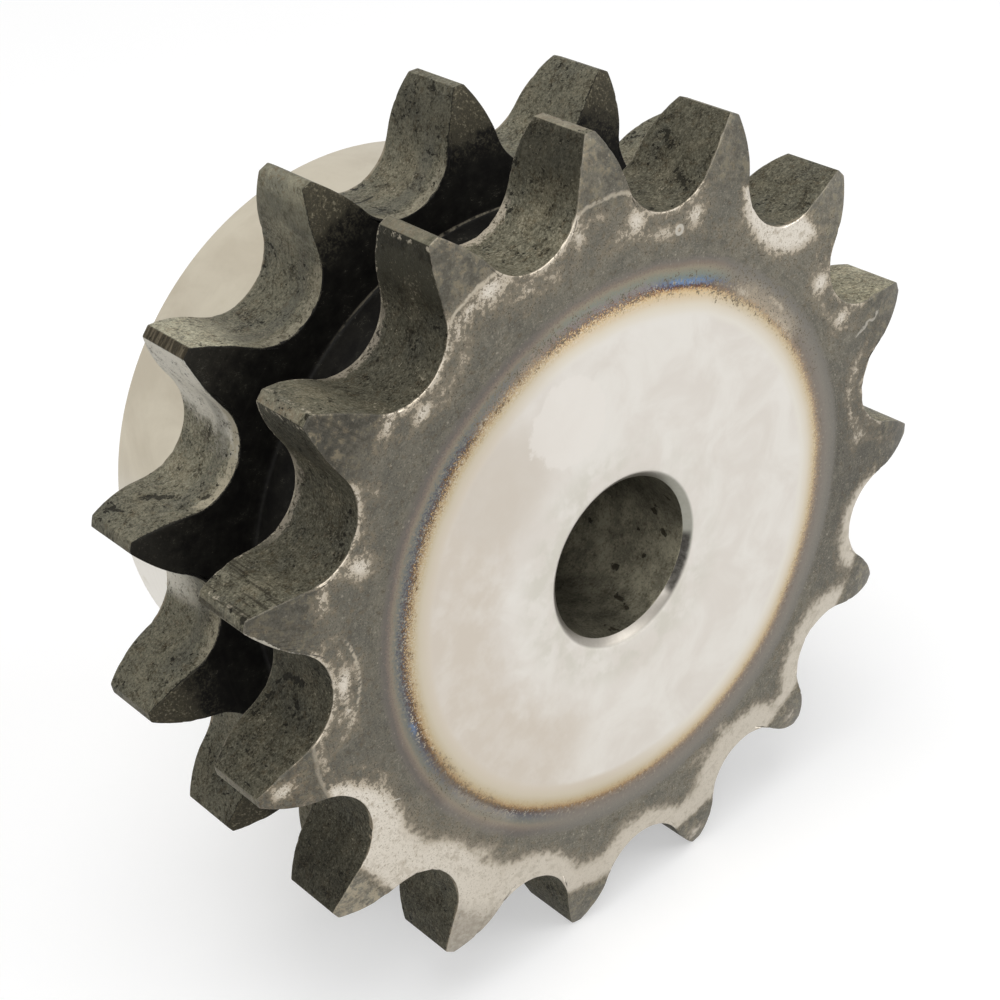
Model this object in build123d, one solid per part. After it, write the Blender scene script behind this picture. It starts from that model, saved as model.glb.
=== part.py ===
from build123d import *
import os
from math import cos, pi, radians, sin, sqrt

# A duplex roller-chain sprocket, made of one piece of steel: two rings of hobbed teeth,
# a turned groove between them for the chain's middle plates, and a hub behind, all bored
# through.  It spins about Y.  Its plain face looks towards -Y and its hub points to +Y.
# The origin is on the bore's axis, midway between the two rings.  A tooth gap of each ring
# lies straight below the axis, so the sprocket can stand on the two teeth beside it.

# ---------------------------------------------------------------- driving dimensions
# Lengths are in millimetres, angles in degrees.

# the chain it drives: 5/8 inch pitch with two strands, 10B-2
CHAIN_PITCH = 15.875
ROLLER_DIAMETER = 10.16
STRAND_SPACING = 16.59

# the teeth
TOOTH_COUNT = 15
TOOTH_ADDENDUM = 2.82        # how far the tips stand out past the pitch circle
ROLLER_CLEARANCE = 0.27      # by which the seat's radius is larger than the roller's
SEATING_ANGLE = 126.6        # how much of the roller the seat wraps
FLANK_RADIUS = 16.8          # outward bulge of each flank, from the seat to the tip
RING_WIDTH = 8.7
RELIEF_DEPTH = 1.15          # taken off each side of a tooth at its tip
RELIEF_RADIUS = 15.0         # the curve that guides the chain's plates over the tooth

# the turned body
GROOVE_FLOOR_DROP = 3.6      # how far the groove's floor lies below the tooth roots
GROOVE_BEVEL = 0.4           # left by the grooving tool in the corners of the groove's floor
HUB_DIAMETER = 58.0
HUB_ROOT_BEVEL = 0.8         # left by the turning tool where the hub leaves the rear ring
HUB_END_CHAMFER = 0.4
OVERALL_LENGTH = 40.0
BORE_DIAMETER = 16.0
BORE_CHAMFER = 0.75

# ---------------------------------------------------------------- worked-out sizes
pitch_radius = CHAIN_PITCH / (2 * sin(pi / TOOTH_COUNT))
seat_radius = ROLLER_DIAMETER / 2 + ROLLER_CLEARANCE
root_radius = pitch_radius - seat_radius
tip_radius = pitch_radius + TOOTH_ADDENDUM
relief_height = sqrt(2 * RELIEF_RADIUS * RELIEF_DEPTH - RELIEF_DEPTH**2)

groove_radius = root_radius - GROOVE_FLOOR_DROP
hub_radius = HUB_DIAMETER / 2
bore_radius = BORE_DIAMETER / 2

front_face = -(STRAND_SPACING + RING_WIDTH) / 2
rear_ring_back = -front_face
hub_end = front_face + OVERALL_LENGTH


def block(inner_radius, outer_radius, start, end):
    """A rectangle of the axial section, from one radius to another and from start to end."""
    middle = Pos((inner_radius + outer_radius) / 2, (start + end) / 2)
    return middle * Rectangle(outer_radius - inner_radius, end - start)


def ring_section(centre):
    """One ring's axial section: flat sides that curve in towards the tips."""
    half = RING_WIDTH / 2
    relief_start = tip_radius - relief_height
    base_front = (bore_radius, centre - half)
    side_front = (relief_start, centre - half)
    tip_front = (tip_radius, centre - half + RELIEF_DEPTH)
    tip_back = (tip_radius, centre + half - RELIEF_DEPTH)
    side_back = (relief_start, centre + half)
    base_back = (bore_radius, centre + half)
    outline = [
        Line(base_front, side_front),
        TangentArc(side_front, tip_front, tangent=(1, 0)),
        Line(tip_front, tip_back),
        TangentArc(side_back, tip_back, tangent=(1, 0)),
        Line(side_back, base_back),
        Line(base_back, base_front),
    ]
    return make_face(outline)


def corners_at(section, radius, *stations):
    """The section's corners at one radius and at the given stations along the axis."""
    def is_wanted(corner):
        on_radius = abs(corner.X - radius) < 1e-4
        return on_radius and any(abs(corner.Y - station) < 1e-4 for station in stations)
    return section.vertices().filter_by(is_wanted)


def body_section():
    """The turned body's axial section: X is the distance from the axis, Y lies along it."""
    front_ring_back = front_face + RING_WIDTH
    rear_ring_front = rear_ring_back - RING_WIDTH
    section = block(bore_radius, groove_radius, front_face, rear_ring_back)
    section += block(bore_radius, hub_radius, rear_ring_front, hub_end)
    section += ring_section(-STRAND_SPACING / 2)
    section += ring_section(STRAND_SPACING / 2)
    section = chamfer(corners_at(section, groove_radius, front_ring_back, rear_ring_front), GROOVE_BEVEL)
    section = chamfer(corners_at(section, hub_radius, rear_ring_back), HUB_ROOT_BEVEL)
    section = chamfer(corners_at(section, hub_radius, hub_end), HUB_END_CHAMFER)
    return chamfer(corners_at(section, bore_radius, front_face, hub_end), BORE_CHAMFER)


def tooth_gap():
    """The space between two teeth, as a cutter that runs through both rings.

    It is drawn with the axis at the origin and the gap straight along the plane's own +Y.
    The seat wraps the roller.  Each flank leaves it at the seating angle, bulges towards the
    gap and runs on past the tips until it is level with its partner.
    """
    half_seat = SEATING_ANGLE / 2
    across = sin(radians(half_seat))
    along = cos(radians(half_seat))
    reach = seat_radius + FLANK_RADIUS
    flank_height = pitch_radius - reach * along
    level = flank_height + FLANK_RADIUS

    outline = [
        CenterArc((0, pitch_radius), seat_radius, 270 - half_seat, SEATING_ANGLE),
        CenterArc((reach * across, flank_height), FLANK_RADIUS, 90, half_seat),
        CenterArc((-reach * across, flank_height), FLANK_RADIUS, 90 - half_seat, half_seat),
        Line((-reach * across, level), (reach * across, level)),
    ]
    run_out = 1.0
    length = rear_ring_back - front_face + 2 * run_out
    downwards = Plane(origin=(0, front_face - run_out, 0), x_dir=(1, 0, 0), z_dir=(0, 1, 0))
    return extrude(downwards * make_face(outline), amount=length)


def sprocket():
    """The turned body with the tooth gaps cut through both rings together."""
    body = revolve(body_section(), Axis.Y)
    gap = tooth_gap()
    gaps = [gap.rotate(Axis.Y, index * 360 / TOOTH_COUNT) for index in range(TOOTH_COUNT)]
    return body - gaps


os.makedirs("parts", exist_ok=True)
export_step(sprocket(), "parts/sprocket.step")
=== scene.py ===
from math import atan2, cos, degrees, hypot, pi, radians, sin, sqrt

import bpy
import numpy as np
from mathutils import Matrix, Vector, noise


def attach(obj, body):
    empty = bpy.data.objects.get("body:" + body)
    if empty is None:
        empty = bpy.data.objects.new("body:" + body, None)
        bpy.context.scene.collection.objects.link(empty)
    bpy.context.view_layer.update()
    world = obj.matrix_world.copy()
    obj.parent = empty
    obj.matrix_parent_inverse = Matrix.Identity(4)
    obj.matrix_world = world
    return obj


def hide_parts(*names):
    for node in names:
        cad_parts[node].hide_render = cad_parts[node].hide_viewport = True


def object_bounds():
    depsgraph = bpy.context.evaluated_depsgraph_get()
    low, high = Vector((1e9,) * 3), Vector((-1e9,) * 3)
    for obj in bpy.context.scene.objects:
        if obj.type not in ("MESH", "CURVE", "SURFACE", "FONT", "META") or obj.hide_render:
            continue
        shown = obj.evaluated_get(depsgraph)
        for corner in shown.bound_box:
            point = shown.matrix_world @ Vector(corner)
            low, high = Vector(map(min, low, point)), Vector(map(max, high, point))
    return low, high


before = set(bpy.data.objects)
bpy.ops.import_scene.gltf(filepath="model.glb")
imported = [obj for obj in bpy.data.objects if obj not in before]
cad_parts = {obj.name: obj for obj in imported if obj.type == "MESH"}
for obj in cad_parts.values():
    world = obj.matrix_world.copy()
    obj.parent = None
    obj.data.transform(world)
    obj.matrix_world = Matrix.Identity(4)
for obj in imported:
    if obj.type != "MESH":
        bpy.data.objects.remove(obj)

CAD_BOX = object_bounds()
MM = 0.001

# ---------------------------------------------------------------- the sprocket's sizes, in millimetres
# It spins about Y with its plain face towards -Y.  Tooth k of each ring points 24k degrees
# clockwise from straight up, seen from the front, and a gap lies half a pitch further on.
TOOTH_COUNT = 15
PITCH_ANGLE = 360 / TOOTH_COUNT
CHAIN_PITCH = 15.875
SEAT_RADIUS = 5.35
HALF_SEAT = 63.3
FLANK_RADIUS = 16.8
TIP_RADIUS = 41.0
STRAND_SPACING = 16.59
RING_WIDTH = 8.7
RELIEF_DEPTH = 1.15
RELIEF_RADIUS = 15.0
GROOVE_RADIUS = 29.23
GROOVE_FILLET = 0.45
HUB_RADIUS = 29.0
HUB_FILLET = 1.0
HUB_CHAMFER = 0.4
OVERALL_LENGTH = 40.0
BORE_RADIUS = 8.0
BORE_CHAMFER = 0.75

PITCH_RADIUS = CHAIN_PITCH / (2 * sin(pi / TOOTH_COUNT))
ROOT_RADIUS = PITCH_RADIUS - SEAT_RADIUS
RELIEF_START = TIP_RADIUS - sqrt(2 * RELIEF_RADIUS * RELIEF_DEPTH - RELIEF_DEPTH**2)
FRONT_FACE = -(STRAND_SPACING + RING_WIDTH) / 2
REAR_RING_BACK = -FRONT_FACE
FRONT_RING_BACK = FRONT_FACE + RING_WIDTH
REAR_RING_FRONT = REAR_RING_BACK - RING_WIDTH
HUB_END = FRONT_FACE + OVERALL_LENGTH

# how finely the surface is meshed
SEAT_STEPS = 12
FLANK_STEPS = 15
CORNER_STEPS = 3
LAND_STEPS = 2
TOOTH_COLUMNS = 2 * TOOTH_COUNT * (SEAT_STEPS + FLANK_STEPS + CORNER_STEPS + LAND_STEPS)
BODY_COLUMNS = TOOTH_COLUMNS // 4
RIM_RADIUS = 31.6            # the circle where the fine tooth mesh meets the coarse body mesh
EDGE_STEPS = 4
FACE_STEPS = 12              # on the plain face's teeth, which carry the finest wear
SIDE_STEPS = 6
WIDTH_STEPS = 8

# the materials' places on the piece
FACE, FLANK, GROOVE, HUB, BORE = range(5)


# ---------------------------------------------------------------- the tooth outline
def gap_half():
    """Half of one tooth gap's outline, from the gap's middle to the tooth's middle.

    Each point is (across, outwards, normal across, normal outwards) in a frame whose second
    axis runs from the sprocket's axis through the gap's middle; normals point out of the steel.
    """
    corner = 0.2
    flank_x = (SEAT_RADIUS + FLANK_RADIUS) * sin(radians(HALF_SEAT))
    flank_h = PITCH_RADIUS - (SEAT_RADIUS + FLANK_RADIUS) * cos(radians(HALF_SEAT))
    flank_far = hypot(flank_x, flank_h)
    flank_at = atan2(flank_x, flank_h)

    # the small round between flank and land: its centre, seen from the sprocket's axis
    centre_far = TIP_RADIUS - corner
    reach = FLANK_RADIUS - corner
    opening = np.arccos((centre_far**2 + flank_far**2 - reach**2) / (2 * centre_far * flank_far))
    centre_at = flank_at - opening
    centre = (centre_far * sin(centre_at), centre_far * cos(centre_at))
    top = atan2(centre[1] - flank_h, centre[0] - flank_x)

    points = []
    for i in range(SEAT_STEPS):
        a = radians(HALF_SEAT) * i / SEAT_STEPS
        points.append((SEAT_RADIUS * sin(a), PITCH_RADIUS - SEAT_RADIUS * cos(a), -sin(a), cos(a)))
    start = radians(90 + HALF_SEAT)
    for i in range(FLANK_STEPS):
        a = start + (top - start) * i / FLANK_STEPS
        points.append((flank_x + FLANK_RADIUS * cos(a), flank_h + FLANK_RADIUS * sin(a), cos(a), sin(a)))
    land = pi / 2 - centre_at
    for i in range(CORNER_STEPS):
        a = top + (land - top) * i / CORNER_STEPS
        points.append((centre[0] + corner * cos(a), centre[1] + corner * sin(a), cos(a), sin(a)))
    middle = pi / 2 - radians(PITCH_ANGLE / 2)
    for i in range(LAND_STEPS + 1):
        a = land + (middle - land) * i / LAND_STEPS
        points.append((TIP_RADIUS * cos(a), TIP_RADIUS * sin(a), cos(a), sin(a)))
    return np.array(points)


def ring_outline():
    """The whole ring's outline in (x, z), its outward normals, and each column's even angle."""
    half = gap_half()
    mirrored = half[:0:-1] * (-1, 1, -1, 1)
    gap = np.vstack([mirrored, half[:-1]])
    points, normals = [], []
    for k in range(TOOTH_COUNT):
        turn = radians(PITCH_ANGLE * (k + 0.5))
        c, s = cos(turn), sin(turn)
        points.append(np.stack([gap[:, 0] * c + gap[:, 1] * s, -gap[:, 0] * s + gap[:, 1] * c], axis=1))
        normals.append(np.stack([gap[:, 2] * c + gap[:, 3] * s, -gap[:, 2] * s + gap[:, 3] * c], axis=1))
    even = 2 * pi * np.arange(TOOTH_COLUMNS) / TOOTH_COLUMNS
    return np.vstack(points), np.vstack(normals), even


def relief(radius):
    """How far a ring's side has curved in at a radius."""
    past = np.clip(np.asarray(radius) - RELIEF_START, 0, None)
    return RELIEF_RADIUS - np.sqrt(RELIEF_RADIUS**2 - past**2)


# ---------------------------------------------------------------- rows of points
class Rows:
    """Closed rows of points round the axis, joined one to the next into a single skin."""

    def __init__(self):
        self.points = []
        self.faces = []
        self.materials = []
        self.edge = []
        self.count = 0
        self.last = None
        self.first = None

    def add(self, points, edge, material):
        """Adds a row and joins it to the one before. edge is each point's distance to a tooth's edge."""
        row = np.arange(self.count, self.count + len(points))
        self.points.append(points)
        self.edge.append(np.broadcast_to(edge, len(points)))
        self.count += len(points)
        if self.last is None:
            self.first = row
        else:
            self.join(self.last, row, material)
        self.last = row

    def close(self, material):
        """Joins the last row to the first."""
        self.join(self.last, self.first, material)

    def join(self, a, b, material):
        """The faces between two rows, one of which may be finer than the other."""
        if len(a) == len(b):
            faces = np.stack([a, np.roll(a, -1), np.roll(b, -1), b], axis=1).tolist()
        elif len(a) > len(b):
            faces = self.zip_rows(a, b, True)
        else:
            faces = self.zip_rows(b, a, False)
        self.faces += faces
        self.materials += [material] * len(faces)

    @staticmethod
    def zip_rows(fine, coarse, flip):
        """Triangles between a fine row and a coarse one with a whole number of times fewer points."""
        step = len(fine) // len(coarse)
        faces = []
        for j in range(len(coarse)):
            here, after = coarse[j], coarse[(j + 1) % len(coarse)]
            run = [fine[(j * step + i) % len(fine)] for i in range(step + 1)]
            for i in range(step):
                corner = here if i < step // 2 else after
                faces.append((run[i], corner, run[i + 1]))
            faces.append((run[step // 2], here, after))
        if flip:
            faces = [face[::-1] for face in faces]
        return [[int(v) for v in face] for face in faces]


def on_circle(radius, y, columns):
    """A row on a circle round the axis."""
    turn = 2 * pi * np.arange(columns) / columns
    return np.stack([radius * np.sin(turn), np.full(columns, y), radius * np.cos(turn)], axis=1)


def rounded(path, step):
    """A path of (radius, y, corner radius) points as a fine polyline with rounded corners."""
    corners = [np.array(p[:2], float) for p in path]
    fine = [corners[0]]
    for i in range(1, len(path)):
        here = corners[i]
        if i == len(path) - 1 or path[i][2] == 0:
            arc = [here]
        else:
            back, on = corners[i - 1] - here, corners[i + 1] - here
            back, on = back / np.linalg.norm(back), on / np.linalg.norm(on)
            half = np.arccos(np.clip(back @ on, -1, 1)) / 2
            cut = path[i][2] / np.tan(half)
            centre = here + (back + on) / np.linalg.norm(back + on) * path[i][2] / np.sin(half)
            start, end = here + back * cut - centre, here + on * cut - centre
            steps = max(3, int(round(degrees(pi - 2 * half) / 15)))
            sweep = pi - 2 * half
            arc = [
                centre + (start * sin((1 - t) * sweep) + end * sin(t * sweep)) / sin(sweep)
                for t in np.linspace(0, 1, steps + 1)
            ]
        run = arc[0] - fine[-1]
        length = np.linalg.norm(run)
        pieces = max(1, int(round(length / step)))
        support = 0.25
        if pieces > 1 and length > 4 * support:
            marks = [support / length, *(np.arange(1, pieces) / pieces), 1 - support / length]
            marks = [m for m in marks if support / length <= m <= 1 - support / length]
        else:
            marks = list(np.arange(1, pieces) / pieces)
        fine += [fine[-1] + run * m for m in sorted(set(marks))]
        fine += arc
    return fine


def body_rows(rows, path, material_at, step=2.4, skip=0):
    """The rows of a turned stretch."""
    for radius, y in rounded(path, step)[skip:]:
        rows.add(on_circle(radius, y, BODY_COLUMNS), 20.0, material_at(radius, y))


def edge_round(points, seed):
    """How far each edge point is rounded off, in millimetres: worn, so not the same all round."""
    slow = np.array([noise.noise(Vector((p[0] * 0.45, seed, p[1] * 0.45))) for p in points])
    fine = np.array([noise.noise(Vector((p[0] * 1.7, seed + 9, p[1] * 1.7))) for p in points])
    nicks = 0.55 * np.clip(fine + 0.4 * slow - 0.3, 0, 0.2)
    radius = np.hypot(points[:, 0], points[:, 1])
    nicks = nicks * np.clip((TIP_RADIUS - 0.9 - radius) / 0.8, 0, 1)
    return np.clip(0.1 + 0.06 * slow + 0.04 * fine, 0.05, 0.17) + nicks


def ring_rows(rows, front, side_material, back_material):
    """The rows of one toothed ring, from the rim of its front side round the teeth to the back one."""
    outline, normals, even = ring_outline()
    back = front + RING_WIDTH
    rim = RIM_RADIUS * np.stack([np.sin(even), np.cos(even)], axis=1)
    front_round = edge_round(outline, front)
    back_round = edge_round(outline, back)

    def place(flat, y):
        return np.stack([flat[:, 0], y, flat[:, 1]], axis=1)

    def side(inset, sign, level, softening):
        """Points on a side, inset from the outline, softening past the side's own level."""
        flat = outline - normals * inset[:, None]
        depth = relief(np.hypot(flat[:, 0], flat[:, 1]))
        return flat, level + sign * (depth + softening)

    def side_rows(sign, level, softness, material, outwards):
        edge_flat, _ = side(softness, sign, level, 0)
        steps = FACE_STEPS if level == FRONT_FACE else SIDE_STEPS
        near = 0.06
        marks = near + (1 - near) * np.linspace(0, 1, steps) ** 1.35
        marks = marks[::-1] if outwards else marks
        for mark in marks:
            flat = edge_flat * (1 - mark) + rim * mark
            y = level + sign * relief(np.hypot(flat[:, 0], flat[:, 1]))
            gap = np.linalg.norm(flat - outline, axis=1)
            rows.add(place(flat, y), gap, material)

    def round_rows(sign, level, softness, material, outwards):
        turns = np.linspace(0, pi / 2, EDGE_STEPS + 1)
        turns = turns if outwards else turns[::-1]
        for turn in turns:
            flat, y = side(softness * (1 - sin(turn)), sign, level, softness * (1 - cos(turn)))
            rows.add(place(flat, y), softness * (1 - sin(turn)), material)

    side_rows(1, front, front_round, side_material, True)
    round_rows(1, front, front_round, side_material, True)
    radius = np.hypot(outline[:, 0], outline[:, 1])
    near = front + relief(radius) + front_round
    far = back - relief(radius) - back_round
    for mark in np.linspace(0, 1, WIDTH_STEPS + 1)[1:-1]:
        y = near * (1 - mark) + far * mark
        rows.add(place(outline, y), np.minimum(y - front, back - y), FLANK)
    round_rows(-1, back, back_round, FLANK, False)
    side_rows(-1, back, back_round, back_material, False)


def sprocket_mesh():
    """The whole skin: bore, plain face, front ring, groove, rear ring and hub."""
    rows = Rows()
    middle = (FRONT_FACE + HUB_END) / 2
    inner = RIM_RADIUS - 0.5

    def front_material(radius, y):
        return BORE if radius < BORE_RADIUS + 0.05 else FACE

    def rear_material(radius, y):
        if y < REAR_RING_BACK + 0.02:
            return FACE
        return BORE if radius < BORE_RADIUS + 0.05 else HUB

    body_rows(rows, [
        (BORE_RADIUS, middle, 0),
        (BORE_RADIUS, FRONT_FACE + BORE_CHAMFER, 0.12),
        (BORE_RADIUS + BORE_CHAMFER, FRONT_FACE, 0.9),
        (inner, FRONT_FACE, 0),
    ], front_material, step=0.9)
    ring_rows(rows, FRONT_FACE, FACE, GROOVE)
    body_rows(rows, [
        (inner, FRONT_RING_BACK, 0),
        (GROOVE_RADIUS, FRONT_RING_BACK, GROOVE_FILLET),
        (GROOVE_RADIUS, REAR_RING_FRONT, GROOVE_FILLET),
        (inner, REAR_RING_FRONT, 0),
    ], lambda radius, y: GROOVE, step=1.2)
    ring_rows(rows, REAR_RING_FRONT, GROOVE, FACE)
    body_rows(rows, [
        (inner, REAR_RING_BACK, 0),
        (HUB_RADIUS, REAR_RING_BACK, HUB_FILLET),
        (HUB_RADIUS, HUB_END - HUB_CHAMFER, 0.15),
        (HUB_RADIUS - HUB_CHAMFER, HUB_END, 0.15),
        (BORE_RADIUS + BORE_CHAMFER, HUB_END, 0.2),
        (BORE_RADIUS, HUB_END - BORE_CHAMFER, 0.12),
        (BORE_RADIUS, middle + 2.4, 0),
    ], rear_material)
    rows.close(BORE)
    return rows


# ---------------------------------------------------------------- where the faces are worn bright
# Each patch is (degrees clockwise from straight up, distance from the axis, half width across,
# half height outwards, strength).
FRONT_WORN = (
    (6.4, 32.7, 1.3, 1.5, 0.8), (11.5, 31.0, 4.0, 0.5, 0.7), (18.9, 32.4, 1.5, 1.2, 0.6),
    (16.8, 34.4, 0.5, 1.0, 0.8), (44.0, 33.4, 1.0, 1.9, 0.9), (29.4, 32.6, 0.7, 1.0, 0.3),
    (48.0, 27.4, 3.8, 0.5, 0.65), (55.0, 27.6, 1.6, 0.4, 0.5), (231.0, 26.1, 1.5, 0.3, 0.5),
    (238.0, 26.0, 1.6, 0.22, 0.5), (352.0, 26.0, 4.4, 0.25, 0.45), (38.0, 26.5, 3.4, 0.5, 0.6),
    (55.7, 32.0, 1.3, 1.4, 0.8), (65.6, 32.4, 1.2, 1.4, 0.8), (53.0, 33.2, 0.5, 1.4, 0.5),
    (78.0, 32.1, 0.7, 0.8, 0.6), (91.5, 31.7, 0.8, 0.6, 0.6),
    (115.0, 33.4, 0.9, 1.2, 0.7), (120.0, 34.0, 2.0, 0.3, 0.4), (126.5, 33.4, 0.9, 1.5, 0.7),
    (139.6, 33.4, 1.0, 1.6, 0.8), (135.0, 29.9, 1.2, 0.7, 0.3), (144.4, 37.9, 0.8, 0.9, 0.6),
    (156.5, 28.8, 1.3, 1.2, 0.35), (162.5, 29.7, 1.6, 0.8, 0.4), (168.5, 38.9, 1.4, 1.2, 0.3),
    (216.0, 36.6, 3.2, 4.6, 0.8), (222.0, 30.2, 2.4, 0.9, 0.9),
    (236.0, 31.0, 2.4, 0.5, 0.4), (243.0, 31.4, 2.0, 0.5, 0.5), (223.0, 29.4, 2.6, 0.5, 0.35),
    (264.0, 34.85, 2.8, 0.3, 0.9), (264.5, 39.0, 1.4, 1.6, 0.3), (263.0, 37.5, 1.6, 0.2, 0.7),
    (276.1, 31.8, 1.6, 0.9, 1.0), (271.6, 31.6, 0.5, 0.4, 0.9), (270.8, 32.6, 0.4, 0.5, 0.8),
    (281.8, 32.2, 0.6, 0.5, 0.7), (284.0, 33.3, 0.4, 0.7, 0.8), (269.0, 31.0, 1.0, 0.3, 0.4),
    (295.6, 31.7, 0.9, 1.4, 1.0), (290.9, 34.7, 1.0, 0.6, 1.0), (289.6, 34.2, 0.4, 0.35, 1.0),
    (298.8, 31.4, 0.4, 0.3, 0.8),
    (306.7, 32.4, 0.6, 0.5, 0.7), (299.0, 31.3, 0.4, 0.25, 0.7), (294.0, 31.0, 1.4, 0.3, 0.6),
    (320.0, 31.8, 1.3, 0.9, 0.75), (324.5, 31.2, 1.6, 0.5, 0.55), (329.6, 31.6, 1.2, 0.6, 0.45),
    (316.2, 34.3, 1.3, 0.6, 0.9), (331.5, 34.0, 0.5, 1.1, 0.85),
    (334.2, 34.6, 1.9, 0.75, 0.8), (338.6, 34.4, 1.9, 1.0, 1.0), (336.5, 33.2, 1.4, 0.8, 0.4),
    (341.0, 34.0, 1.3, 0.6, 1.0), (344.0, 32.0, 1.6, 0.9, 0.55),
    (342.5, 30.3, 0.9, 0.5, 0.45), (352.5, 31.2, 1.2, 0.5, 0.4), (355.0, 33.5, 0.5, 0.8, 0.9),
    (358.0, 34.0, 2.0, 0.9, 0.3), (348.5, 31.4, 4.0, 0.7, 0.3), (4.0, 31.6, 3.0, 0.8, 0.3),
)
# The worn rim beside each tooth gap, from the gap at 12 degrees on: its width, and by how much it
# widens with each degree clockwise.
FRONT_RIMS = (
    (0.30, 0.0), (1.9, 0.12), (0.15, 0.0), (0.05, 0.0), (1.2, 0.08), (2.4, 0.0), (3.1, 0.0), (2.3, 0.02),
    (2.75, 0.07), (3.2, -0.03), (2.4, -0.14), (0.4, 0.0), (0.3, 0.0), (0.35, 0.0), (0.35, 0.0),
)
BACK_RIMS = (
    (0.9, 0.05), (1.4, 0.0), (0.5, 0.0), (1.1, -0.05), (0.3, 0.0), (0.8, 0.04), (1.6, 0.0), (1.2, 0.05),
    (0.4, 0.0), (0.7, 0.0), (1.5, -0.08), (0.9, 0.0), (0.3, 0.0), (0.6, 0.0), (1.2, 0.03),
)
# The plates also drew arcs round some gaps: (gap, distance from its seat, half width, strength).
FRONT_ARCS = (
    (0, 2.6, 0.35, 0.4), (2, 2.2, 0.45, 0.5), (3, 2.0, 0.3, 0.75), (10, 2.8, 0.35, 0.5),
    (11, 2.5, 0.25, 0.7), (13, 2.5, 0.25, 0.5), (14, 2.1, 0.2, 0.5),
)
# Whole stretches of some teeth are worn: (tooth, from this distance from the axis, to this one).
FRONT_TEETH = ((6, 33.7, 35.3), (7, 33.0, 35.9), (8, 33.0, 35.7), (9, 30.7, 42.0), (10, 31.0, 36.4))
PLATE_RADIUS = 35.3          # the plates rub no further out than this
UNWORN = -3.0                # the wear of metal that nothing has touched
EDGE_REACH = 0.16            # how far round an edge a side's wear reaches
LAND_RADIUS = TIP_RADIUS - 0.02    # from here out a point is on a tooth's land
# How far each tooth's land is worn, from the tooth that points straight up on.
FRONT_LANDS = (0.45, 0.1, 0.0, -0.1, -0.2, 0.0, 0.1, -0.2, 0.1, 0.2, 0.3, 0.2, 0.0, 0.3, 0.3)
REAR_LANDS = (-0.2, -0.3, 0.0, -0.2, 0.0, -0.3, -0.1, 0.2, -0.3, 0.0, -0.1, 0.0, -0.1, -0.9, 0.0)
# How light the scale is on each tooth's land, and on each tooth's face at its foot and its tip.
FRONT_LAND_SHADES = (1.2, 1.1, 1.0, 1.0, 1.0, 1.0, 1.0, 1.1, 1.0, 1.0, 1.0, 1.0, 1.1, 1.2, 1.1)
REAR_LAND_SHADES = (1.0, 0.9, 1.0, 1.0, 1.1, 1.0, 0.9, 1.0, 1.0, 1.1, 1.0, 0.8, 0.8, 0.3, 1.3)
FACE_SHADES = (
    (0.95, 0.73), (0.96, 0.74), (1.0, 0.97), (0.95, 0.8), (0.85, 0.82), (0.93, 1.0), (0.97, 1.0), (1.0, 1.0),
    (1.0, 0.92), (1.0, 0.9), (0.95, 1.1), (0.8, 0.75), (0.85, 0.54), (0.83, 0.42), (0.88, 0.69),
)
# How light each tooth gap's scale is drawn, from the gap at 12 degrees on: the flank that the gap begins
# with, its seat, and the flank that it ends with, going clockwise. Partly the scale's own tone and partly
# painted light and shade: flanks that face up are painted lighter, flanks that face down or away darker, and
# the rear underside at ten o'clock a painted sheen.
FRONT_TONE_AND_PAINTED_LIGHT = (
    (0.8, 0.75, 0.7), (0.8, 0.9, 0.85), (0.9, 2.0, 2.0), (1.0, 1.7, 1.7), (0.9, 1.2, 1.2),
    (1.0, 1.1, 0.9), (0.8, 0.9, 0.8), (0.7, 0.9, 0.9), (0.8, 0.9, 0.8), (0.6, 0.8, 0.8),
    (0.4, 0.6, 0.6), (0.65, 0.6, 0.5), (0.9, 0.65, 0.4), (1.05, 0.56, 0.27), (0.95, 1.15, 0.4),
)
REAR_TONE_AND_PAINTED_LIGHT = (
    (0.8, 1.0, 0.8), (0.8, 1.1, 0.9), (1.0, 1.0, 0.8), (0.9, 1.1, 1.0), (0.8, 1.0, 0.9),
    (1.0, 0.9, 0.7), (0.8, 1.0, 0.9), (0.9, 1.0, 0.8), (0.7, 0.9, 0.8), (0.8, 0.9, 0.8),
    (0.7, 0.9, 0.9), (0.8, 1.0, 1.0), (0.9, 1.2, 1.3), (2.1, 0.85, 1.5), (1.1, 0.9, 0.64),
)


# ---------------------------------------------------------------- wear, tone and painted light at the mesh's points
def polar(points):
    """Each point's distance from the axis, and its angle clockwise from straight up, in degrees."""
    return np.hypot(points[:, 0], points[:, 2]), np.degrees(np.arctan2(points[:, 0], points[:, 2]))


def turned_from(angle, at):
    """How many degrees clockwise of a direction each angle lies, from -180 to 180."""
    return (angle - at + 180) % 360 - 180


def eased(share):
    """A share from 0 to 1 with a soft start and a soft end."""
    share = np.clip(share, 0, 1)
    return share * share * (3 - 2 * share)


def nearest_tooth(angle):
    """The number of the tooth nearest to each angle."""
    return np.round(angle / PITCH_ANGLE).astype(int) % TOOTH_COUNT


def tone_and_painted_light_at(points, shades, lands):
    """How light the scale is drawn at each point of one ring's teeth: its tone, and on the flanks painted
    light and shade too.
    """
    radius, angle = polar(points)
    angle = angle % 360
    gap = np.minimum((angle / PITCH_ANGLE).astype(int), TOOTH_COUNT - 1)
    across = angle / PITCH_ANGLE - gap - 0.5
    height = eased((radius - ROOT_RADIUS - 1.0) / (TIP_RADIUS - ROOT_RADIUS - 3.0))
    first, seat, last = (np.array(shades)[gap, i] for i in range(3))
    side = np.where(across < 0, first, last)
    flank = seat + (side - seat) * height
    return np.where(radius > LAND_RADIUS, np.array(lands)[nearest_tooth(angle)], flank)


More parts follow.
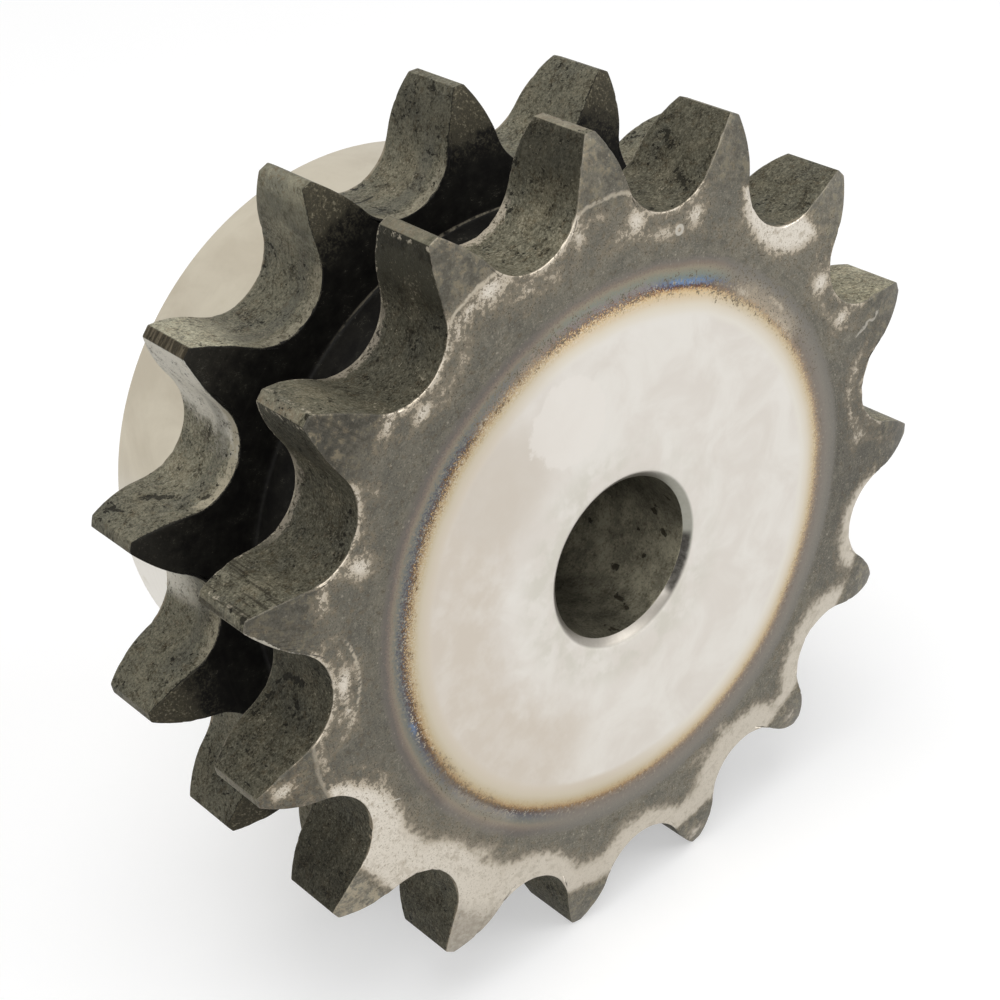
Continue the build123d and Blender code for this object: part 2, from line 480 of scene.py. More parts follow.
def face_shades_at(points):
    """How light the scale on the plain face is at each point, from one tooth to the next."""
    radius, angle = polar(points)
    angle = angle % 360
    before = (angle / PITCH_ANGLE).astype(int) % TOOTH_COUNT
    share = eased((angle / PITCH_ANGLE - before) * 1.6 - 0.3)
    table = np.array(FACE_SHADES)
    here, after = table[before].T, table[(before + 1) % TOOTH_COUNT].T
    foot, tip = (1 - share) * here + share * after
    return foot + (tip - foot) * np.clip((radius - 33.5) / 4.5, 0, 1)


def patches_at(points, patches):
    """How deep inside a worn patch each point lies, in millimetres; negative outside them all."""
    radius, angle = polar(points)
    depth = np.full(len(points), UNWORN)
    for at, out, across, tall, strength in patches:
        far = np.hypot(np.radians(turned_from(angle, at)) * radius / across, (radius - out) / tall)
        depth = np.maximum(depth, np.maximum((1 - far) * min(across, tall), UNWORN) + strength - 1)
    return depth


def rims_at(points, widths, arcs=(), teeth=()):
    """How deep inside the parts that the chain's plates have worn each point lies, in millimetres."""
    radius, angle = polar(points)
    depth = np.full(len(points), UNWORN)

    def gap_turn(gap):
        return turned_from(angle, PITCH_ANGLE * (gap + 0.5))

    def from_seat(gap):
        a = radians(PITCH_ANGLE * (gap + 0.5))
        across, along = points[:, 0] - PITCH_RADIUS * sin(a), points[:, 2] - PITCH_RADIUS * cos(a)
        return np.hypot(across, along) - SEAT_RADIUS

    for gap, (width, lean) in enumerate(widths):
        depth = np.maximum(depth, width + lean * np.clip(gap_turn(gap), -9, 9) - from_seat(gap))
    depth = np.minimum(depth, (PLATE_RADIUS - radius) * 2)
    for gap, distance, half, strength in arcs:
        ends = np.clip((8.5 - np.abs(gap_turn(gap))) * 0.3, -3, 0)
        depth = np.maximum(depth, half - np.abs(from_seat(gap) - distance) + ends + strength - 1)
    for tooth, low, high in teeth:
        sides = np.clip((7.0 - np.abs(turned_from(angle, PITCH_ANGLE * tooth))) * 0.6, -4, 0)
        across = np.clip(np.minimum(radius - low, (high - radius) * 2), -3, 1)
        depth = np.maximum(depth, across + sides)
    return depth


def wear_at(points):
    """The wear of every point of the skin: above zero it is bright metal."""
    radius, angle = polar(points)
    y = points[:, 1]
    wear = np.full(len(points), UNWORN)
    front = y < FRONT_FACE + relief(radius) + EDGE_REACH
    wear[front] = np.maximum(
        patches_at(points[front], FRONT_WORN), rims_at(points[front], FRONT_RIMS, FRONT_ARCS, FRONT_TEETH)
    )
    back = (y > REAR_RING_BACK - relief(radius) - EDGE_REACH) & (y < REAR_RING_BACK + 0.01)
    wear[back] = rims_at(points[back], BACK_RIMS)
    land = radius > LAND_RADIUS
    for on_ring, lands in ((~front & (y < 0), FRONT_LANDS), (~back & (y > 0), REAR_LANDS)):
        wear[land & on_ring] = np.array(lands)[nearest_tooth(angle[land & on_ring])]
    return wear


def build_sprocket(materials):
    """The sprocket's one piece, with its wear, tone and painted light stored at its points."""
    rows = sprocket_mesh()
    points = np.vstack(rows.points)
    mesh = bpy.data.meshes.new("sprocket_body")
    mesh.from_pydata((points * MM).tolist(), [], rows.faces)
    mesh.polygons.foreach_set("material_index", np.array(rows.materials, dtype=np.int32))
    front_shade = tone_and_painted_light_at(points, FRONT_TONE_AND_PAINTED_LIGHT, FRONT_LAND_SHADES)
    rear_shade = tone_and_painted_light_at(points, REAR_TONE_AND_PAINTED_LIGHT, REAR_LAND_SHADES)
    values_by_name = {
        "edge": np.concatenate(rows.edge),
        "wear": wear_at(points),
        # shade holds the scale's tone, with painted light and shade on the flanks
        "shade": np.where(points[:, 1] < 0, front_shade, rear_shade),
        "face_shade": face_shades_at(points),
    }
    for name, values in values_by_name.items():
        attribute = mesh.attributes.new(name, "FLOAT", "POINT")
        attribute.data.foreach_set("value", values.astype(np.float32))
    mesh.shade_smooth()
    for material in materials:
        mesh.materials.append(material)
    mesh.update()
    piece = bpy.data.objects.new("sprocket_body", mesh)
    bpy.context.scene.collection.objects.link(piece)
    return piece


# ---------------------------------------------------------------- the means to write materials
def tone(red, green, blue):
    """A colour written as screen values from 0 to 255, in the linear values that shaders use."""
    screen = [value / 255 for value in (red, green, blue)]
    return (*[v / 12.92 if v <= 0.04045 else ((v + 0.055) / 1.055) ** 2.4 for v in screen], 1.0)


class Field:
    """A number or colour that a material works out at each point of the surface."""

    def __init__(self, tree, socket):
        self.tree = tree
        self.socket = socket

    def __add__(self, other):
        return calc("ADD", self, other)

    def __radd__(self, other):
        return calc("ADD", other, self)

    def __sub__(self, other):
        return calc("SUBTRACT", self, other)

    def __rsub__(self, other):
        return calc("SUBTRACT", other, self)

    def __mul__(self, other):
        return calc("MULTIPLY", self, other)

    def __rmul__(self, other):
        return calc("MULTIPLY", other, self)

    def __truediv__(self, other):
        return calc("DIVIDE", self, other)

    def __abs__(self):
        return calc("ABSOLUTE", self)


def connect(tree, term, socket):
    """Gives a socket a field, a plain value, or a colour written as three screen values."""
    if isinstance(term, Field):
        tree.links.new(term.socket, socket)
    else:
        socket.default_value = tone(*term) if isinstance(term, tuple) else term


def make(kind, terms, output=0, **settings):
    """A new node's output as a field, with its inputs filled in order, or by index or name."""
    if not isinstance(terms, dict):
        terms = dict(enumerate(terms))
    tree = next(term.tree for term in terms.values() if isinstance(term, Field))
    node = tree.nodes.new("ShaderNode" + kind)
    for name, value in settings.items():
        setattr(node, name, value)
    for key, term in terms.items():
        connect(tree, term, node.inputs[key])
    return Field(tree, node.outputs[output])


def calc(operation, *terms):
    """A sum, product or other plain calculation on fields and numbers."""
    return make("Math", terms, operation=operation)


def most(first, *others):
    """The largest of some fields and numbers."""
    for other in others:
        first = calc("MAXIMUM", first, other)
    return first


def distance(*parts):
    """The length of a step, from its parts along each axis."""
    squares = [part * part for part in parts]
    return calc("SQRT", sum(squares[1:], squares[0]))


def rise(value, low, high, bottom=0.0, top=1.0):
    """Goes smoothly from bottom to top while the value goes from low to high."""
    return make("MapRange", (value, low, high, bottom, top), interpolation_type="SMOOTHSTEP")


def vector(x, y, z):
    """Three numbers as one place."""
    return make("CombineXYZ", (x, y, z))


def length(place):
    """How far a place is from the origin."""
    return make("VectorMath", (place,), "Value", operation="LENGTH")


def cloud(place, scale=1.0, detail=3.0, rough=0.55, distort=0.0):
    """Noise about zero, mostly between -1 and 1."""
    terms = {"Vector": place, "Scale": scale, "Detail": detail, "Roughness": rough, "Distortion": distort}
    return (make("TexNoise", terms) - 0.5) * 5


def spots(place, cluster, size, least):
    """Ragged spots about this many millimetres across, crowded where the cluster is high: 1 inside."""
    return rise(cloud(place, 1 / size, 3, 0.55) + 0.5 * cluster, least, least + 0.2)


def mix(amount, first, second):
    """A colour between two colours."""
    return make("Mix", {0: amount, 6: first, 7: second}, 2, data_type="RGBA")


def lay(base, *coats):
    """Lays colours over a base one by one; each coat is (how much it covers, its colour)."""
    for amount, colour in coats:
        base = mix(amount, base, colour)
    return base


def scaled(colour, factor):
    """A colour made lighter or darker by a factor."""
    return make("VectorMath", {0: colour, "Scale": factor}, operation="SCALE")


def ramp(value, stops):
    """A colour that runs through stops of (value, colour)."""
    low, high = stops[0][0], stops[-1][0]
    colour = make("ValToRGB", ((value - low) / (high - low),))
    marks = colour.socket.node.color_ramp.elements
    while len(marks) < len(stops):
        marks.new(0.5)
    for mark, (at, screen) in zip(marks, stops):
        mark.position = (at - low) / (high - low)
        mark.color = tone(*screen)
    return colour


class Paint:
    """One material, with its place on the part in millimetres and the clouds that mottle it.

    Each cloud is given by its name as (features per millimetre, detail, roughness).
    """

    def __init__(self, name, **clouds):
        self.material = bpy.data.materials.new(name)
        self.material.use_nodes = True
        self.tree = self.material.node_tree
        self.shader = self.tree.nodes["Principled BSDF"]
        source = self.tree.nodes.new("ShaderNodeTexCoord")
        split = self.tree.nodes.new("ShaderNodeSeparateXYZ")
        self.tree.links.new(source.outputs["Object"], split.inputs[0])
        self.x, self.y, self.z = (Field(self.tree, split.outputs[i]) / MM for i in range(3))
        self.place = vector(self.x, self.y, self.z)
        self.radius = distance(self.x, self.z)
        self.turn_x = self.x / self.radius
        self.turn_z = self.z / self.radius
        for cloud_name, kind in clouds.items():
            setattr(self, cloud_name, cloud(self.place, *kind))

    def attribute(self, name):
        """A value that is stored at the mesh's points."""
        node = self.tree.nodes.new("ShaderNodeAttribute")
        node.attribute_name = name
        return Field(self.tree, node.outputs["Fac"])

    def towards(self, angle):
        """1 in the direction that points this many degrees clockwise from straight up, -1 opposite."""
        return self.turn_x * sin(radians(angle)) + self.turn_z * cos(radians(angle))

    def sector(self, angle, half, soft):
        """1 within half of the angle, falling to 0 over soft degrees more."""
        return rise(self.towards(angle), cos(radians(half + soft)), cos(radians(half)))

    def round_axis(self, around, outwards):
        """A place for noise that is stretched round the axis or away from it, in features per mm."""
        size = 25 * around
        return vector(self.turn_x * size, self.turn_z * size, self.radius * outwards + self.y * around)

    def from_line(self, start, end):
        """The distance from the straight line between two points."""
        here = [self.x - start[0], self.y - start[1], self.z - start[2]]
        run = [b - a for a, b in zip(start, end)]
        share = (here[0] * run[0] + here[1] * run[1] + here[2] * run[2]) / sum(d * d for d in run)
        share = calc("MINIMUM", most(share, 0.0), 1.0)
        return distance(*[h - share * d for h, d in zip(here, run)])

    def near(self, x, z):
        """The distance from a line along the axis."""
        return distance(self.x - x, self.z - z)

    def finish(self, colour, rough, metal, height, gloss=0.5):
        """Gives the shader its colour and finish, with the height in millimetres as bump."""
        self.shader.inputs["Specular IOR Level"].default_value = gloss
        connect(self.tree, colour, self.shader.inputs["Base Color"])
        connect(self.tree, rough, self.shader.inputs["Roughness"])
        connect(self.tree, metal, self.shader.inputs["Metallic"])
        bump = self.tree.nodes.new("ShaderNodeBump")
        bump.inputs["Distance"].default_value = MM
        connect(self.tree, height, bump.inputs["Height"])
        self.tree.links.new(bump.outputs[0], self.shader.inputs["Normal"])
        return self.material


# ---------------------------------------------------------------- the faced sides
TEMPER_RADIUS = 25.66        # the temper ring's inner edge on the plain face
TEMPER_SHIFT = 4.7           # how much further out it lies on the hub's side
# The ring's colours by the distance outside its inner edge: where it is wide, at the left; where it
# is narrow, at the top; and where it is dull, at the right.
WIDE_TEMPER = (
    (-2.9, (205, 197, 185)), (-2.1, (201, 191, 176)), (-1.45, (197, 187, 168)), (-1.0, (189, 177, 153)),
    (-0.5, (178, 159, 125)), (-0.2, (160, 133, 98)), (0.0, (116, 92, 68)), (0.22, (88, 76, 72)),
    (0.5, (92, 92, 98)), (0.85, (106, 108, 108)), (1.25, (119, 119, 109)), (1.6, (136, 126, 110)),
    (1.95, (122, 111, 101)), (2.35, (104, 98, 92)), (3.3, (114, 110, 103)),
)
NARROW_TEMPER = (
    (-2.4, (217, 212, 203)), (-1.5, (212, 203, 186)), (-0.9, (206, 190, 164)), (-0.35, (204, 180, 140)),
    (-0.12, (180, 146, 104)), (0.0, (128, 96, 72)), (0.15, (82, 62, 66)), (0.35, (86, 84, 104)),
    (0.6, (100, 116, 140)), (0.95, (116, 128, 130)), (1.3, (130, 134, 122)), (1.85, (143, 134, 116)),
    (2.2, (128, 116, 104)), (2.6, (116, 110, 103)), (3.3, (114, 110, 102)),
)
DULL_TEMPER = (
    (-2.2, (216, 211, 201)), (-1.4, (209, 200, 184)), (-0.9, (200, 187, 163)), (-0.5, (193, 174, 142)),
    (-0.2, (172, 150, 120)), (0.0, (150, 132, 112)), (0.3, (132, 119, 106)), (0.7, (126, 118, 109)),
    (1.2, (130, 123, 114)), (1.7, (128, 123, 114)), (2.3, (121, 117, 109)), (3.3, (119, 115, 107)),
)


def bright_middle(paint, front):
    """The clean satin metal inside the temper ring, with faint stains, and the bore's bevel."""
    radius, blotch, sector, near = paint.radius, paint.blotch, paint.sector, paint.near
    stain = cloud(paint.place, 0.16, 4, 0.6, 0.6)
    left = sector(264, 50, 22) * rise(radius + blotch, 13, 18)
    smear = rise(near(-13.5, 14.0) + 0.8 * blotch, 7.0, 3.5) * front
    thumb = rise(near(-5.4, 16.8) + 0.7 * blotch, 4.5, 4.1) * front
    bore_ring = rise(radius, 10.5, 14, 1, 0) * rise(paint.towards(60), 0.2, 0.9, 1.0, 0.35)
    # a dark rub crosses the bore's bevel at four o'clock
    mouth = rise(radius, BORE_RADIUS + 0.9, BORE_RADIUS + 0.6)
    bevel = mix(sector(75, 25, 25), (150, 145, 137), (146, 145, 135))
    rubbed = rise(radius + 0.04 * paint.flicker, BORE_RADIUS + 0.75, BORE_RADIUS + 0.45)
    return lay(
        mix(rise(stain, -0.8, 0.8), (219, 215, 208), (211, 205, 197)),
        (left * rise(blotch, -1.0, 0.6, 0.6, 1), (201, 192, 180)),
        (smear * 0.7, (199, 191, 180)),
        (thumb * 0.7, (221, 216, 209)),
        (bore_ring * rise(blotch, -0.6, 0.6, 0.1, 0.8), (200, 196, 185)),
        (mouth * (0.95 + 0.05 * paint.brush), mix(sector(118, 17, 7) * rubbed, bevel, (48, 46, 42))),
    )


def heat_at(paint):
    """How far outside the temper ring's ragged inner edge a point lies."""
    sector = paint.sector
    whisker = cloud(paint.round_axis(3.0, 1.1), 1.0, 3, 0.7)
    limit = TEMPER_RADIUS + 0.4 * paint.towards(70) - 0.4 * sector(352, 14, 25)
    limit = limit + 0.15 * sector(18, 8, 8) - 0.2 * sector(109, 14, 8) - 0.1 * sector(317, 8, 8)
    heat = paint.radius - rise(paint.y, -1.0, 1.0, 0.0, TEMPER_SHIFT) - limit
    ragged = rise(heat, -1.4, -0.2) * rise(heat, 1.8, 0.8, 0.3, 1)
    flaky = sector(318, 42, 20) * 0.5 + sector(75, 35, 25) * 0.14 + 0.18
    flakes = 0.1 * whisker + flaky * (paint.grain + 0.6 * paint.speck)
    return heat + 0.07 * paint.blotch + flakes * ragged


def temper_ring(paint, heat, front):
    """The temper colours, with two blue patches, three flaked stretches, and grit at the inner edge."""
    grain, speck, flicker, sector = paint.grain, paint.speck, paint.flicker, paint.sector
    wide, narrow, dull = (ramp(heat, stops) for stops in (WIDE_TEMPER, NARROW_TEMPER, DULL_TEMPER))
    outer = rise(heat, -0.1, 0.2)
    left_side = rise(paint.towards(255), -0.15, 0.5) * (1 - outer) + sector(278, 58, 25) * outer
    blue_one = rise(paint.near(9.2, 24.8) + 0.4 * flicker, 1.2, 3.4, 1, 0)
    blue_two = rise(paint.near(-25.7, -4.6) + 0.3 * flicker + 0.2 * grain, 0.2, 1.1, 1, 0)
    blue = most(blue_one, blue_two * 0.7) * rise(heat, 0.15, 0.4) * rise(heat, 0.9, 0.6) * front
    warm = sector(354, 12, 10) * rise(heat, 0.1, 0.35) * rise(heat, 1.3, 0.9)
    flakes = 0.35 + 0.65 * rise(speck + 0.7 * grain + 0.5 * flicker, -0.3, 0.8)
    low_left = sector(228, 7, 6) * rise(heat, 0.2, 0.5) * rise(heat, 1.5, 0.8, 0.25, 0.65)
    grit = rise(heat, -0.9, -0.3) * rise(heat, 1.3, 0.5) * (0.35 + 0.65 * sector(325, 75, 30))
    return lay(
        mix(left_side, dull, wide),
        (sector(8, 16, 12), narrow),
        (blue * 0.8, (112, 136, 168)),
        (rise(grain, 0.2, 1.1) * outer * 0.35, (70, 66, 62)),
        (rise(speck, 0.5, 1.0) * outer * 0.35, (160, 152, 138)),
        (warm * 0.6, (152, 136, 120)),
        (sector(47, 7, 6) * rise(heat, -0.1, 0.3) * rise(heat, 2.4, 0.1) * flakes, (216, 203, 180)),
        (low_left * flakes, (188, 180, 166)),
        (sector(332, 7, 5) * rise(heat, -0.1, 0.2) * rise(heat, 1.1, 0.4) * flakes * 0.8, (188, 172, 146)),
        (grit * rise(flicker + 0.6 * grain, 0.25, 0.8) * 0.75, (86, 66, 46)),
        (grit * rise(speck + 0.6 * grain, 0.35, 0.8) * 0.75, (202, 190, 166)),
    )


def face_scale(paint):
    """The dark scale on the heated rim and the teeth."""
    grain, speck, flicker, haze = paint.grain, paint.speck, paint.flicker, paint.haze
    radius, blotch, sector = paint.radius, paint.blotch, paint.sector
    tooth = rise(radius + 0.4 * blotch, 33.6, 36.0)
    cover = haze + 0.7 * flicker
    scale = lay(
        mix(rise(blotch, -0.9, 0.9), (106, 103, 93), (122, 117, 104)),
        (sector(98, 16, 14) * 0.5, (90, 87, 80)),
        (rise(paint.lathe, 0.2, 1.0) * 0.35, (86, 83, 75)),
        (rise(paint.brush, 0.2, 1.0) * 0.35, (134, 128, 113)),
        (rise(paint.brush, -0.2, -1.0) * 0.3, (82, 79, 70)),
        (rise(haze, 0.2, 1.0) * 0.4, (84, 81, 72)),
        (rise(haze, -0.2, -1.0) * 0.4, (142, 136, 121)),
        (rise(flicker, 0.2, 0.9) * 0.55, (90, 80, 62)),
        (rise(flicker, -0.4, -1.0) * 0.45, (146, 141, 126)),
        (rise(grain, 0.1, 0.9) * 0.6, (62, 59, 51)),
        (rise(grain, -0.3, -1.0) * 0.55, (160, 153, 137)),
        (rise(speck, 0.7, 1.0) * 0.6, (172, 164, 147)),
        (tooth * rise(cover, 0.0, 0.9) * 0.55, (150, 142, 120)),
        (tooth * rise(cover, 0.0, -0.9) * 0.5, (70, 66, 56)),
    )
    # an ashen foot at eight o'clock, smears at ten to twelve, and a fan of streaks at nine and ten
    ashen = sector(241, 5, 3) * rise(radius + 0.5 * blotch, 34.8, 36.2)
    smears = sector(338, 34, 10) * rise(radius, 35.8, 38.0)
    smears = smears * rise(0.8 * flicker + 0.6 * blotch + 0.5 * grain, 0.2, 1.0)
    fan = cloud(vector(paint.towards(288) * 90, paint.towards(18) * 90, 0.0), 1.0, 3, 0.7)
    fanned = sector(300, 18, 6) * rise(radius, 34.5, 36.5)
    rusty = sector(263, 4, 3) * rise(radius, 36.0, 37.5)
    return lay(
        scaled(scale, paint.attribute("face_shade")),
        (ashen * rise(flicker + 0.6 * grain + 0.4 * haze, -0.5, 0.5) * 0.75, (168, 158, 137)),
        (smears * 0.5, (140, 129, 108)),
        (fanned * rise(fan, 0.1, 0.8) * 0.4, (52, 48, 40)),
        (rusty * rise(flicker + 0.5 * grain, -0.3, 0.6) * 0.5, (84, 68, 48)),
    )


def worn_metal(paint, wear, soft):
    """The bright metal of the worn patches and rims, duller on the tip at seven o'clock."""
    blotch, flicker = paint.blotch, paint.flicker
    dull_tip = paint.sector(216, 6, 3) * rise(paint.radius + 0.5 * blotch, 34.5, 37.5)
    return lay(
        mix(rise(wear + 0.5 * blotch, -0.2, 1.1), (180, 169, 151), (212, 205, 193)),
        (rise(flicker + 0.7 * blotch, 0.1, 1.2) * 0.55, (166, 155, 138)),
        (rise(paint.speck, 0.4, 0.9) * 0.6, (136, 125, 107)),
        (rise(paint.grain, 0.1, 0.9) * 0.6, (140, 129, 111)),
        (rise(paint.towards(150), 0.1, 0.8) * 0.6, (188, 180, 166)),
        (soft * 0.3, (190, 182, 168)),
        (soft * rise(paint.haze + 0.5 * paint.brush, 0.1, 1.0) * 0.35, (152, 143, 127)),
        (dull_tip * (0.75 + 0.25 * flicker), (150, 142, 129)),
    )


def drawn_line(paint, front):
    """1 on the bright line that the plates' outer edges drew over some teeth."""
    radius, sector = paint.radius, paint.sector
    blotch, flicker, speck = paint.blotch, paint.flicker, paint.speck
    bow = calc("COSINE", calc("ARCTAN2", paint.x, paint.z) * TOOTH_COUNT)
    off = abs(radius - 35.2 - 0.4 * bow + 0.07 * flicker + 0.12 * blotch)
    strong = most(sector(336, 6, 3), 0.75 * sector(0, 6, 3), 0.45 * sector(264, 5, 2))
    line = rise(off - 0.05 * paint.grain, 0.3, 0.06) * strong * rise(blotch + 0.5 * speck, 1.0, 0.2)
    arch = rise(abs(paint.near(-37.97, 3.99) - 7.95 + 0.1 * flicker), 0.26, 0.06) * sector(277, 8, 3)
    arch = arch * rise(speck + 0.6 * flicker, -0.6, 0.2) * rise(radius, 32.4, 31.2)
    return most(line, arch * 0.8) * front


def struck_marks(paint, front):
    """1 on a small ring struck into the face, and on two scratches."""
    ring = rise(abs(paint.near(8.4, 29.9) - 0.36), 0.22, 0.1)
    x, z = paint.x + 29.2, paint.z + 10.6
    slant = x * 0.32 + z * 0.95
    along = x * 0.95 - z * 0.32
    scratch = rise(abs(slant + 0.05 * paint.flicker), 0.1, 0.03) * rise(abs(along), 1.6, 1.2)
    across = paint.towards(71.3 + 90) * paint.radius + 0.3 * cloud(paint.place, 0.8, 2, 0.5)
    curl = rise(abs(across), 0.16, 0.05) * rise(abs(paint.radius - 35.0), 2.0, 1.6)
    curl = curl * rise(paint.towards(71.3), 0.9, 0.95)
    return most(ring, scratch, curl * 0.7) * front


def face_material():
    """The faced sides: a bright middle, a ring of temper colours, dark scale and worn patches."""
    paint = Paint(
        "face_steel", grain=(6.0, 3, 0.7), speck=(3.0, 2, 0.5), blotch=(0.45, 4, 0.6),
        flicker=(1.8, 3, 0.6), haze=(0.8, 3, 0.6),
    )
    paint.lathe = cloud(paint.round_axis(0.12, 5.0), 1.0, 2, 0.6)
    paint.brush = cloud(paint.round_axis(0.7, 3.0), 1.0, 3, 0.65)
    wear, edge, front = paint.attribute("wear"), paint.attribute("edge"), rise(paint.y, 1.0, -1.0)
    grain, speck, blotch, flicker = paint.grain, paint.speck, paint.blotch, paint.flicker
    radius, sector = paint.radius, paint.sector
    heat = heat_at(paint)
    base = mix(rise(heat, -2.9, -2.2), bright_middle(paint, front), temper_ring(paint, heat, front))
    base = mix(rise(heat, 2.3, 3.2), base, face_scale(paint))

    # worn patches and rims, brown and speckled where they end: crisp at the top, soft at the bottom
    soft = sector(170, 62, 25)
    inside = wear + (0.42 * flicker + 0.34 * blotch + (0.42 * speck + 0.34 * grain) * (1 - 0.7 * soft))
    bare = rise(inside, -0.1 - 0.6 * soft, 0.25 + 0.35 * soft)
    fringe = rise(inside, -1.1 - 0.3 * soft - 0.7 * sector(236, 12, 8), -0.1)
    rub = rise(0.03 + 0.1 * blotch + 0.12 * grain - edge, -0.03, 0.06)
    rub = rub * rise(radius + 0.6 * blotch, 34.6, 36.5, 1.0, 0.25)
    # a thin, broken burr along the lower edge of the tooth at half past nine
    tuft = rise(paint.near(-37.6, 10.8), 1.8, 0.5, 0.0, 0.24)
    burr = rise(edge + 0.14 * grain + 0.1 * speck - tuft, 0.1, -0.04) * sector(281, 6.0, 0.8) * front
    burr = burr * rise(radius, 33.5, 37.5, 0.3, 1.0)
    line = drawn_line(paint, front)
    base = lay(
        base,
        (fringe * 0.5, (136, 125, 106)),
        (fringe * rise(grain + speck, 0.3, 0.9) * 0.7, (54, 49, 41)),
        (bare * rise(wear, -0.6, 0.4, 0.75, 1.0), worn_metal(paint, wear, soft)),
        (rub * 0.7, (186, 176, 159)),
        (burr * 0.8, (190, 184, 170)),
        (line * 0.8, (190, 180, 162)),
        (struck_marks(paint, front) * 0.8, (196, 190, 178)),
    )

    bare = most(bare, line * 0.8)
    oxide = rise(heat, -0.3, 2.2)
    clean = most(bare, rub * 0.7, 1 - oxide)
    rough = 0.47 - 0.1 * clean + 0.05 * grain * oxide
    metal = 0.45 + 0.55 * clean
    height = 0.0006 * paint.lathe + 0.0025 * grain * oxide + 0.001 * paint.brush * oxide
    return paint.finish(base, rough, metal, height - 0.012 * bare * oxide, 0.25)


# ---------------------------------------------------------------- the flanks
# The largest gouges in the flanks: from one point to another, half their width, and how ragged.
FLANK_GOUGES = (
    ((-9.4, 9.3, 32.2), (-7.4, 9.6, 32.0), 0.15, 0.2),
    ((-37.6, 11.0, 13.5), (-37.0, 9.3, 13.55), 0.16, 0.3),
    ((-30.2, -11.7, 27.6), (-30.2, -11.2, 27.7), 0.28, 0.5),
    ((-38.8, -11.7, 13.0), (-38.8, -11.1, 13.1), 0.28, 0.5),
    ((11.4, -9.4, 33.3), (10.6, -11.4, 32.7), 0.2, 1.6),
    ((13.4, -6.2, 35.4), (12.8, -7.6, 34.8), 0.2, 1.8),
    ((-34.6, 9.6, 13.8), (-32.9, 7.8, 13.8), 0.3, 1.4),
    ((-31.6, 5.6, 14.0), (-31.0, 4.9, 14.1), 0.2, 1.0),
    ((-33.0, -5.9, 1.9), (-32.9, -8.3, 2.2), 0.2, 1.7),
    ((-34.4, -5.1, 0.0), (-35.9, -5.0, -0.9), 0.2, 1.7),
)


def hobbed_scale(paint, rear, calm):
    """The mottled dark scale of the flanks, smoother where it is calm."""
    patch, blotch, mottle, flake, grain = paint.patch, paint.blotch, paint.mottle, paint.flake, paint.grain
    streak, busy = paint.streak, 1 - 0.6 * calm
    return lay(
        mix(rear, (99, 96, 81), (115, 112, 96)),
        (rise(patch, 0.1, 0.8) * 0.45, (90, 90, 81)),
        (rise(patch, -0.1, -0.8) * 0.5, (122, 115, 95)),
        (rise(blotch, 0.05, 0.9) * 0.65, (60, 55, 42)),
        (rise(blotch, -0.3, -1.1) * 0.5, (146, 141, 121)),
        (rise(mottle, 0.2, 0.9) * 0.5, (82, 70, 50)),
        (rise(mottle, -0.4, -1.1) * 0.3, (140, 136, 118)),
        (rise(streak, 0.2, 1.0) * 0.3, (56, 52, 41)),
        (rise(flake, 0.1, 0.8) * busy * 0.6, (48, 44, 34)),
        (rise(flake, -0.2, -0.9) * busy * 0.5, (148, 142, 122)),
        (rise(grain, 0.1, 0.8) * busy * 0.6, (44, 40, 31)),
        (rise(grain, -0.2, -0.9) * busy * 0.5, (158, 152, 132)),
    )


def painted_sheen_at(paint, rear, land):
    """How strongly a painted sheen, a painted reflection, lies on the rear ring's tooth undersides at nine
    and ten o'clock and on one seat at nine o'clock.
    """
    radius, y, mottle, sector = paint.radius, paint.y, paint.mottle, paint.sector
    ten = rear * sector(306, 5, 2) * rise(radius + 0.5 * mottle - 0.12 * (y - 8), 32.7, 34.0)
    nine = rear * sector(281.5, 5, 2) * rise(radius + 0.6 * mottle, 34.0, 36.2)
    seat = rear * sector(278, 2.5, 3) * rise(y, 5.0, 12.0)
    pitted = rise(0.7 * mottle + 0.6 * paint.grain + 0.7 * paint.blotch, 1.2, 0.0, 0.35, 1.0)
    return most(ten, nine, seat) * pitted * (1 - land)


def seat_rims(paint, base, rear, low):
    """The flanks' base with the cracked beige rubs where the seats meet the groove."""
    radius, y, sector = paint.radius, paint.y, paint.sector
    blotch, mottle, grain, flake = paint.blotch, paint.mottle, paint.grain, paint.flake
    crack = rise(mottle + 0.8 * grain + 0.4 * flake, 0.7, -0.2)
    rim = rear * rise(y + 0.3 * blotch + 0.25 * mottle, 5.35, 4.9) * rise(radius + 0.6 * blotch, 36.4, 34.6)
    inner = rear * rise(abs(y - 6.6 + 0.4 * blotch), 1.2, 0.4) * low
    crust = (1 - rear) * rise(y + 0.45 * blotch + 0.4 * mottle + 0.3 * flake, -5.0, -4.6)
    crust = crust * rise(radius + 0.7 * mottle, 35.4, 33.8)
    crust = crust * most(sector(347, 6, 3), 0.5 * sector(312, 15, 6))
    return lay(
        base,
        (rim * most(sector(300, 10, 3), 0.4) * (0.4 + 0.5 * crack), (170, 162, 141)),
        (inner * 0.35, (84, 84, 78)),
        (crust * rise(mottle + grain, 1.1, 0.0) * 0.85, (188, 177, 159)),
    )


